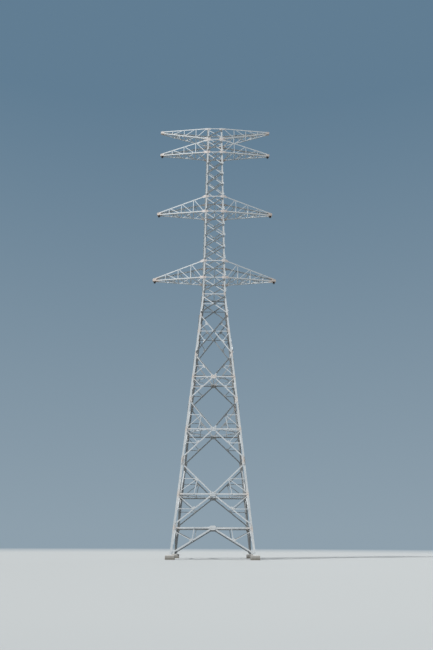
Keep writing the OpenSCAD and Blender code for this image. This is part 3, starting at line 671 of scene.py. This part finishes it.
def makeJointGroup():  # a warm tint where bars meet the legs, and at the arms' ends
    k = jointLook
    group, into, out = newGroup("jointTint", [("Vector", "NodeSocketVector", None)], ["Tint"])
    split = addNode(group, "ShaderNodeSeparateXYZ", (-1100, 0))
    share = addMath(group, (-900, 200), "DIVIDE", tower["topZ"])
    bodyBands = heightBands(group, (-700, 300), k["bodyLevels"], k["bodyBand"])
    cageBands = heightBands(group, (-700, 50), k["cageLevels"], k["cageBand"])
    hubBands = heightBands(group, (-700, 550), k["hubLevels"], k["hubBand"])
    levels = addMath(group, (-400, 200), "MAXIMUM")
    sideX = addMath(group, (-900, -200), "ABSOLUTE")
    sideY = addMath(group, (-900, -350), "ABSOLUTE")
    along = addMath(group, (-700, -250), "MINIMUM")
    widest = addMath(group, (-700, -100), "MAXIMUM")
    bodyLean = addMath(group, (-700, -450), "MULTIPLY_ADD", -leanAt(0), tower["baseWidth"] / 2)
    cageLean = addMath(
        group, (-700, -650), "MULTIPLY_ADD", -leanAt(k["cageZ"]),
        tower["waistWidth"] / 2 + tower["waistZ"] * leanAt(k["cageZ"]),
    )
    halfWide = addMath(group, (-500, -500), "MAXIMUM")
    inward = addMath(group, (-300, -250), "SUBTRACT")
    outward = addMath(group, (-300, -420), "SUBTRACT")
    fromLeg = addMath(group, (-200, -330), "MAXIMUM")
    nearLeg = addRange(group, (-100, -300), k["legEdge"], (1.0, 0.0))
    atLegs = addMath(group, (100, 100), "MULTIPLY")
    nearMiddle = addRange(group, (-400, 550), k["hubEdge"], (k["hubTint"], 0.0))
    atHubs = addMath(group, (-100, 500), "MULTIPLY")
    atJoints = addMath(group, (200, 300), "MAXIMUM")
    tips = addRange(group, (-100, -600), k["tipEdge"])
    either = addMath(group, (300, 0), "MAXIMUM")
    patch = addNoise(group, (-100, -900), k["patchScale"], k["patchDetail"])
    patchEdge = addRange(group, (150, -900), k["patchEdge"], (k["patchLeast"], 1.0))
    broken = addMath(group, (600, 0), "MULTIPLY")
    linkAll(
        group,
        (into.outputs["Vector"], split.inputs["Vector"]), (split.outputs["Z"], share.inputs[0]),
        (share.outputs["Value"], bodyBands.inputs["Fac"]), (share.outputs["Value"], cageBands.inputs["Fac"]),
        (bodyBands.outputs["Color"], levels.inputs[0]), (cageBands.outputs["Color"], levels.inputs[1]),
        (split.outputs["X"], sideX.inputs[0]), (split.outputs["Y"], sideY.inputs[0]),
        (sideX.outputs["Value"], along.inputs[0]), (sideY.outputs["Value"], along.inputs[1]),
        (split.outputs["Z"], bodyLean.inputs[0]), (split.outputs["Z"], cageLean.inputs[0]),
        (bodyLean.outputs["Value"], halfWide.inputs[0]), (cageLean.outputs["Value"], halfWide.inputs[1]),
        (halfWide.outputs["Value"], inward.inputs[0]), (along.outputs["Value"], inward.inputs[1]),
        (sideX.outputs["Value"], widest.inputs[0]), (sideY.outputs["Value"], widest.inputs[1]),
        (widest.outputs["Value"], outward.inputs[0]), (halfWide.outputs["Value"], outward.inputs[1]),
        (inward.outputs["Value"], fromLeg.inputs[0]), (outward.outputs["Value"], fromLeg.inputs[1]),
        (fromLeg.outputs["Value"], nearLeg.inputs["Value"]), (nearLeg.outputs["Result"], atLegs.inputs[0]),
        (levels.outputs["Value"], atLegs.inputs[1]), (sideX.outputs["Value"], tips.inputs["Value"]),
        (share.outputs["Value"], hubBands.inputs["Fac"]),
        (along.outputs["Value"], nearMiddle.inputs["Value"]),
        (hubBands.outputs["Color"], atHubs.inputs[0]), (nearMiddle.outputs["Result"], atHubs.inputs[1]),
        (atLegs.outputs["Value"], atJoints.inputs[0]), (atHubs.outputs["Value"], atJoints.inputs[1]),
        (atJoints.outputs["Value"], either.inputs[0]), (tips.outputs["Result"], either.inputs[1]),
        (into.outputs["Vector"], patch.inputs["Vector"]), (patch.outputs["Fac"], patchEdge.inputs["Value"]),
        (either.outputs["Value"], broken.inputs[0]), (patchEdge.outputs["Result"], broken.inputs[1]),
        (broken.outputs["Value"], out.inputs["Tint"]),
    )
    return group


paintedShadeLook = {
    "insideEdge": (-0.15, 0.3), "underEdge": (-0.8, -0.3), "underAmount": 0.8,
    "patchScale": 1.7, "patchDetail": 6.0, "patchEdge": (0.3, 0.6), "patchLeast": 0.7,
}


def makeShelterGroup():  # painted shade: faces that look into the tower or at the ground are painted darker, in noise patches
    k = paintedShadeLook
    inputs = [("Vector", "NodeSocketVector", None), ("Normal", "NodeSocketVector", None)]
    group, into, out = newGroup("paintedShadeFaces", inputs, ["Shelter"])
    level = addNode(group, "ShaderNodeVectorMath", (-700, 100), operation="MULTIPLY")
    level.inputs[1].default_value = (1, 1, 0)
    axisOut = addNode(group, "ShaderNodeVectorMath", (-500, 100), operation="NORMALIZE")
    facing = addNode(group, "ShaderNodeVectorMath", (-300, 0), operation="DOT_PRODUCT")
    inside = addRange(group, (-100, 0), k["insideEdge"], (1.0, 0.0))
    split = addNode(group, "ShaderNodeSeparateXYZ", (-500, -250))
    under = addRange(group, (-100, -250), k["underEdge"], (k["underAmount"], 0.0))
    either = addMath(group, (150, 0), "MAXIMUM")
    patch = addNoise(group, (-300, -500), k["patchScale"], k["patchDetail"])
    patchEdge = addRange(group, (-100, -500), k["patchEdge"], (k["patchLeast"], 1.0))
    broken = addMath(group, (350, 0), "MULTIPLY")
    linkAll(
        group,
        (into.outputs["Vector"], level.inputs[0]), (level.outputs["Vector"], axisOut.inputs[0]),
        (axisOut.outputs["Vector"], facing.inputs[0]), (into.outputs["Normal"], facing.inputs[1]),
        (facing.outputs["Value"], inside.inputs["Value"]), (into.outputs["Normal"], split.inputs["Vector"]),
        (split.outputs["Z"], under.inputs["Value"]), (inside.outputs["Result"], either.inputs[0]),
        (under.outputs["Result"], either.inputs[1]), (into.outputs["Vector"], patch.inputs["Vector"]),
        (patch.outputs["Fac"], patchEdge.inputs["Value"]), (either.outputs["Value"], broken.inputs[0]),
        (patchEdge.outputs["Result"], broken.inputs[1]), (broken.outputs["Value"], out.inputs["Shelter"]),
    )
    return group


spangle = makeSpangleGroup()
paintedShadeFaces = makeShelterGroup()
jointTint = makeJointGroup()

# In each look below, the darker zinc tone and its amount paint shade on faces that look into the tower or at
# the ground
zincLooks = {
    "legZinc": {
        "base": (0.68, 0.72, 0.745), "bloom": (0.77, 0.80, 0.81), "rain": (0.53, 0.57, 0.60),
        "paintedShadeTone": (0.36, 0.38, 0.39), "paintedShadeAmount": 0.85, "warm": (0.82, 0.71, 0.63), "warmAmount": 0.85,
        "metal": 0.15, "rough": 0.5, "crystal": 70,
    },
    "bodyZinc": {
        "base": (0.67, 0.71, 0.74), "bloom": (0.76, 0.79, 0.80), "rain": (0.53, 0.57, 0.60),
        "paintedShadeTone": (0.36, 0.38, 0.39), "paintedShadeAmount": 0.55, "warm": (0.82, 0.71, 0.63), "warmAmount": 0.8,
        "metal": 0.15, "rough": 0.48, "crystal": 85,
    },
    # painted light: the cage's zinc is paler than the rest of the steel and gets little painted shade, so
    # that its bars look brightly lit
    "cageZincPaintedPale": {
        "base": (0.74, 0.78, 0.80), "bloom": (0.79, 0.82, 0.83), "rain": (0.61, 0.65, 0.67),
        "paintedShadeTone": (0.50, 0.52, 0.53), "paintedShadeAmount": 0.1, "warm": (0.82, 0.66, 0.59), "warmAmount": 0.85,
        "metal": 0.15, "rough": 0.48, "crystal": 85,
    },
    "armZinc": {
        "base": (0.71, 0.75, 0.77), "bloom": (0.77, 0.80, 0.81), "rain": (0.55, 0.60, 0.63),
        "paintedShadeTone": (0.45, 0.47, 0.48), "paintedShadeAmount": 0.15, "warm": (0.76, 0.62, 0.53), "warmAmount": 0.85,
        "metal": 0.15, "rough": 0.48, "crystal": 90,
    },
    "boltZinc": {
        "base": (0.62, 0.65, 0.66), "bloom": (0.70, 0.72, 0.72), "rain": (0.48, 0.50, 0.51),
        "paintedShadeTone": (0.40, 0.41, 0.41), "paintedShadeAmount": 0.3, "warm": (0.70, 0.58, 0.50), "warmAmount": 0.8,
        "metal": 0.3, "rough": 0.5, "crystal": 120,
    },
}
zincShared = {"bloomAmount": 0.75, "rainAmount": 0.55, "roughRise": 0.22, "bump": 0.12, "bumpDepth": 0.002}


def newMaterial(name):
    material = bpy.data.materials.new(name)
    material.use_nodes = True
    tree = material.node_tree
    place = addNode(tree, "ShaderNodeTexCoord", (-1500, 0))
    return material, tree, tree.nodes["Principled BSDF"], place.outputs["Object"]


def makeZinc(name, look):
    k = zincShared
    material, tree, shader, place = newMaterial(name)
    crystals = addNode(tree, "ShaderNodeGroup", (-1200, 100), node_tree=spangle)
    crystals.inputs["Crystal Size"].default_value = look["crystal"]
    crystals.inputs["Bloom"].default_value = k["bloomAmount"]
    joints = addNode(tree, "ShaderNodeGroup", (-1200, -250), node_tree=jointTint)
    geometry = addNode(tree, "ShaderNodeNewGeometry", (-1500, -500))
    paintedShade = addNode(tree, "ShaderNodeGroup", (-1200, -500), node_tree=paintedShadeFaces)
    bloomFac, bloomA, bloomB, bloomOut = mixColour(tree, (-900, 200))
    bloomA.default_value = (*look["base"], 1)
    bloomB.default_value = (*look["bloom"], 1)
    rainFac, rainA, rainB, rainOut = mixColour(tree, (-700, 200))
    rainB.default_value = (*look["rain"], 1)
    rainAmount = addMath(tree, (-900, -50), "MULTIPLY", k["rainAmount"])
    warmFac, warmA, warmB, warmOut = mixColour(tree, (-500, 200))
    warmB.default_value = (*look["warm"], 1)
    warmAmount = addMath(tree, (-900, -250), "MULTIPLY", look["warmAmount"])
    # painted shade: the darker tone is mixed in on faces that look into the tower or at the ground
    paintedShadeFac, paintedShadeA, paintedShadeB, paintedShadeOut = mixColour(tree, (-400, 450))
    paintedShadeB.default_value = (*look["paintedShadeTone"], 1)
    paintedShadeAmount = addMath(tree, (-900, -500), "MULTIPLY", look["paintedShadeAmount"])
    toned = addNode(tree, "ShaderNodeVectorMath", (-300, 200), operation="SCALE")
    rough = addMath(tree, (-300, -100), "MULTIPLY_ADD", k["roughRise"], look["rough"])
    bump = addBump(tree, k["bump"], k["bumpDepth"])
    shader.inputs["Metallic"].default_value = look["metal"]
    linkAll(
        tree,
        (place, crystals.inputs["Vector"]), (place, joints.inputs["Vector"]),
        (place, paintedShade.inputs["Vector"]), (geometry.outputs["Normal"], paintedShade.inputs["Normal"]),
        (crystals.outputs["Bloom Mask"], bloomFac), (bloomOut, rainA),
        (crystals.outputs["Streak Mask"], rainAmount.inputs[0]), (rainAmount.outputs["Value"], rainFac),
        (joints.outputs["Tint"], warmAmount.inputs[0]), (warmAmount.outputs["Value"], warmFac),
        (paintedShade.outputs["Shelter"], paintedShadeAmount.inputs[0]), (paintedShadeAmount.outputs["Value"], paintedShadeFac),
        (rainOut, warmA), (warmOut, paintedShadeA), (paintedShadeOut, toned.inputs[0]),
        (crystals.outputs["Tone"], toned.inputs["Scale"]), (crystals.outputs["Bloom Mask"], rough.inputs[0]),
        (crystals.outputs["Height"], bump.inputs["Height"]),
        (toned.outputs["Vector"], shader.inputs["Base Color"]),
        (rough.outputs["Value"], shader.inputs["Roughness"]),
        (bump.outputs["Normal"], shader.inputs["Normal"]),
    )
    return material


concreteLook = {
    "base": (0.50, 0.49, 0.46), "pale": (0.66, 0.65, 0.62), "damp": (0.27, 0.25, 0.21), "rough": 0.86,
    "cloudScale": 5.0, "cloudDetail": 8.0, "cloudRough": 0.65,
    "grainScale": 160.0, "grainDetail": 4.0, "grain": 0.45, "grainHeight": 0.4,
    "poreScale": 38.0, "poreEdge": (0.06, 0.16), "dampEdge": (0.14, 0.23), "dampAmount": 0.75,
    "dampWander": 0.12, "bump": 0.5, "bumpDepth": 0.004,
}


def makeConcrete():
    look = concreteLook
    material, tree, shader, place = newMaterial("castConcrete")
    cloud = addNoise(tree, (-1200, 200), look["cloudScale"], look["cloudDetail"], look["cloudRough"])
    grain = addNoise(tree, (-1200, -100), look["grainScale"], look["grainDetail"])
    pores = addNode(tree, "ShaderNodeTexVoronoi", (-1200, -350))
    pores.inputs["Scale"].default_value = look["poreScale"]
    poreEdge = addRange(tree, (-950, -350), look["poreEdge"])
    split = addNode(tree, "ShaderNodeSeparateXYZ", (-1200, -600))
    height = addMath(tree, (-1000, -600), "MULTIPLY_ADD", look["dampWander"])
    damp = addRange(tree, (-800, -600), look["dampEdge"], (look["dampAmount"], 0.0))
    mottleFac, mottleA, mottleB, mottleOut = mixColour(tree, (-900, 200))
    mottleA.default_value = (*look["base"], 1)
    mottleB.default_value = (*look["pale"], 1)
    wetFac, wetA, wetB, wetOut = mixColour(tree, (-650, 200))
    wetB.default_value = (*look["damp"], 1)
    speckFac, speckA, speckB, speckOut = mixColour(tree, (-400, 200), "MULTIPLY")
    speckFac.default_value = look["grain"]
    relief = addMath(tree, (-650, -250), "MULTIPLY_ADD", look["grainHeight"])
    bump = addBump(tree, look["bump"], look["bumpDepth"])
    shader.inputs["Roughness"].default_value = look["rough"]
    linkAll(
        tree,
        (place, cloud.inputs["Vector"]), (place, grain.inputs["Vector"]), (place, pores.inputs["Vector"]),
        (place, split.inputs["Vector"]),
        (cloud.outputs["Fac"], height.inputs[0]), (split.outputs["Z"], height.inputs[2]),
        (height.outputs["Value"], damp.inputs["Value"]), (cloud.outputs["Fac"], mottleFac), (mottleOut, wetA),
        (damp.outputs["Result"], wetFac), (wetOut, speckA), (grain.outputs["Color"], speckB),
        (pores.outputs["Distance"], poreEdge.inputs["Value"]), (poreEdge.outputs["Result"], relief.inputs[2]),
        (grain.outputs["Fac"], relief.inputs[0]), (relief.outputs["Value"], bump.inputs["Height"]),
        (bump.outputs["Normal"], shader.inputs["Normal"]), (speckOut, shader.inputs["Base Color"]),
    )
    return material


# painted shade: the hanger plates' near-black base stands for the shade under the arms' tips; the brown
# mottle over it is rust
hangerPaintedShadeLook = {
    "base": (0.085, 0.075, 0.07), "rust": (0.20, 0.10, 0.06), "rustEdge": (0.45, 0.7), "cloudScale": 14.0,
    "cloudDetail": 6.0, "rough": 0.5, "roughRise": 0.3, "metal": 0.35, "bump": 0.25, "bumpDepth": 0.002,
}


def makeHangerPaintedShade():
    look = hangerPaintedShadeLook
    material, tree, shader, place = newMaterial("hangerSteelPaintedShade")
    cloud = addNoise(tree, (-900, 100), look["cloudScale"], look["cloudDetail"])
    edge = addRange(tree, (-700, 100), look["rustEdge"])
    rustFac, rustA, rustB, rustOut = mixColour(tree, (-450, 100))
    rustA.default_value = (*look["base"], 1)
    rustB.default_value = (*look["rust"], 1)
    rough = addMath(tree, (-450, -150), "MULTIPLY_ADD", look["roughRise"], look["rough"])
    bump = addBump(tree, look["bump"], look["bumpDepth"])
    shader.inputs["Metallic"].default_value = look["metal"]
    linkAll(
        tree,
        (place, cloud.inputs["Vector"]), (cloud.outputs["Fac"], edge.inputs["Value"]),
        (edge.outputs["Result"], rustFac), (edge.outputs["Result"], rough.inputs[0]),
        (rustOut, shader.inputs["Base Color"]),
        (rough.outputs["Value"], shader.inputs["Roughness"]), (cloud.outputs["Fac"], bump.inputs["Height"]),
        (bump.outputs["Normal"], shader.inputs["Normal"]),
    )
    return material


zinc = {name: makeZinc(name, look) for name, look in zincLooks.items()}
concrete = makeConcrete()
hangerSteelPaintedShade = makeHangerPaintedShade()


def finishFor(name):
    if name == "pier_heads":
        return concrete
    if name == "hanger_plates":
        return hangerSteelPaintedShade
    if "_leg_" in name or name == "leg_splices":
        return zinc["legZinc"]
    if "_arm_" in name:
        return zinc["armZinc"]
    if name.startswith("cage"):
        return zinc["cageZincPaintedPale"]
    return zinc["bodyZinc"]


for name, node in nodes.items():
    for slot in node.material_slots:
        slot.material = finishFor(name)
for piece in boltPieces:
    piece.data.materials.append(zinc["boltZinc"])
print("materials on", len(nodes), "nodes and", len(boltPieces), "bolt pieces")


stageLook = {
    "horizon": (0.27, 0.35, 0.415), "high": (0.12, 0.205, 0.29), "rise": (0.02, 0.6),  # the backdrop
    "floor": (0.43, 0.45, 0.455), "bounce": (0.12, 0.12, 0.11), "rough": 0.9, "specular": 0.1,
    "radius": 400.0, "fade": (40.0, 130.0),  # where the floor turns into the backdrop
}


def seenRays(tree, x, y):  # 1 on camera, glossy and transmission rays, so that the light stays plain
    path = addNode(tree, "ShaderNodeLightPath", (x, y))
    glossy = addMath(tree, (x + 200, y), "MAXIMUM")
    clear = addMath(tree, (x + 400, y), "MAXIMUM")
    linkAll(
        tree,
        (path.outputs["Is Camera Ray"], glossy.inputs[0]), (path.outputs["Is Glossy Ray"], glossy.inputs[1]),
        (glossy.outputs["Value"], clear.inputs[0]), (path.outputs["Is Transmission Ray"], clear.inputs[1]),
    )
    return clear.outputs["Value"]


def makeFloor():
    look = stageLook
    bpy.ops.mesh.primitive_circle_add(vertices=96, radius=look["radius"], fill_type="NGON")
    floor = bpy.context.active_object
    floor.name = "floor"
    material, tree, shader, place = newMaterial("paleFloor")
    clear = seenRays(tree, -900, -600)
    paleFac, paleA, paleB, paleOut = mixColour(tree, (-450, 100))
    paleA.default_value = (*look["bounce"], 1)
    paleB.default_value = (*look["floor"], 1)
    shader.inputs["Roughness"].default_value = look["rough"]
    shader.inputs["Specular IOR Level"].default_value = look["specular"]
    length = addNode(tree, "ShaderNodeVectorMath", (-900, -300), operation="LENGTH")
    fade = addRange(tree, (-700, -300), look["fade"])
    seen = addMath(tree, (-350, -300), "MULTIPLY")
    glow = addNode(tree, "ShaderNodeEmission", (0, -250))
    glow.inputs["Color"].default_value = (*look["horizon"], 1)
    blend = addNode(tree, "ShaderNodeMixShader", (350, 0))
    surface = tree.nodes["Material Output"]
    surface.location = (600, 0)
    linkAll(
        tree,
        (place, length.inputs[0]), (length.outputs["Value"], fade.inputs["Value"]),
        (clear, paleFac), (paleOut, shader.inputs["Base Color"]),
        (fade.outputs["Result"], seen.inputs[0]), (clear, seen.inputs[1]),
        (seen.outputs["Value"], blend.inputs[0]), (shader.outputs[0], blend.inputs[1]),
        (glow.outputs[0], blend.inputs[2]), (blend.outputs[0], surface.inputs["Surface"]),
    )
    floor.data.materials.append(material)


# A sun from the photo's upper left and a weak wide one for the far sides, by degrees from front and floor
suns = {
    "keyLight": {"power": 3.8, "azimuth": -52.0, "height": 55.0, "spread": 5.0, "tint": (1.0, 0.985, 0.96)},
    "fillLight": {"power": 0.7, "azimuth": 158.0, "height": 25.0, "spread": 60.0, "tint": (0.94, 0.97, 1.0)},
}
skyLook = {"tint": (0.88, 0.94, 1.0), "strength": 0.33}


def makeSun(name, look):
    bpy.ops.object.light_add(type="SUN", location=(-30, -20, 30))
    sun = bpy.context.active_object
    sun.name = name
    azimuth, height = math.radians(look["azimuth"]), math.radians(look["height"])
    level = math.cos(height)
    toSun = Vector((math.sin(azimuth) * level, -math.cos(azimuth) * level, math.sin(height)))
    sun.rotation_euler = (-toSun).to_track_quat("-Z", "Y").to_euler()
    sun.data.energy = look["power"]
    sun.data.angle = math.radians(look["spread"])
    sun.data.color = look["tint"]


def makeSky():  # a plain even sky gives the light, and the graded backdrop is what shows
    world = bpy.data.worlds.new("studio")
    bpy.context.scene.world = world
    world.use_nodes = True
    tree = world.node_tree
    sky = tree.nodes["Background"]
    sky.inputs["Color"].default_value = (*skyLook["tint"], 1)
    sky.inputs["Strength"].default_value = skyLook["strength"]
    plain = addNode(tree, "ShaderNodeBackground", (0, -200))
    direction = addNode(tree, "ShaderNodeTexCoord", (-1000, -200))
    split = addNode(tree, "ShaderNodeSeparateXYZ", (-800, -200))
    rise = addRange(tree, (-600, -200), stageLook["rise"])
    coveFac, coveA, coveB, coveOut = mixColour(tree, (-350, -200))
    coveA.default_value = (*stageLook["horizon"], 1)
    coveB.default_value = (*stageLook["high"], 1)
    pick = addNode(tree, "ShaderNodeMixShader", (250, 0))
    linkAll(
        tree,
        (direction.outputs["Generated"], split.inputs["Vector"]), (split.outputs["Z"], rise.inputs["Value"]),
        (rise.outputs["Result"], coveFac), (coveOut, plain.inputs["Color"]),
        (seenRays(tree, -600, 300), pick.inputs[0]), (sky.outputs[0], pick.inputs[1]),
        (plain.outputs[0], pick.inputs[2]), (pick.outputs[0], tree.nodes["World Output"].inputs["Surface"]),
    )


cameraLook = {"place": (0.1185, -50.556, 1.0), "lens": 36.52, "pitch": 18.41, "yaw": -0.097, "roll": 0.244}


def makeCamera():
    look = cameraLook
    bpy.ops.object.camera_add(location=look["place"])
    camera = bpy.context.active_object
    camera.name = "photoCamera"
    camera.data.lens = look["lens"]
    camera.data.sensor_width = 36.0
    camera.data.clip_end = 2000.0
    yaw, pitch, roll = (math.radians(look[key]) for key in ("yaw", "pitch", "roll"))
    aim = Matrix.Rotation(yaw, 3, "Z") @ Matrix.Rotation(math.pi / 2 + pitch, 3, "X")
    camera.rotation_euler = (aim @ Matrix.Rotation(roll, 3, "Z")).to_euler()
    bpy.context.scene.camera = camera


makeFloor()
for name, look in suns.items():
    makeSun(name, look)
makeSky()
makeCamera()
bpy.context.scene.view_settings.view_transform = "Standard"
print("stage ready")
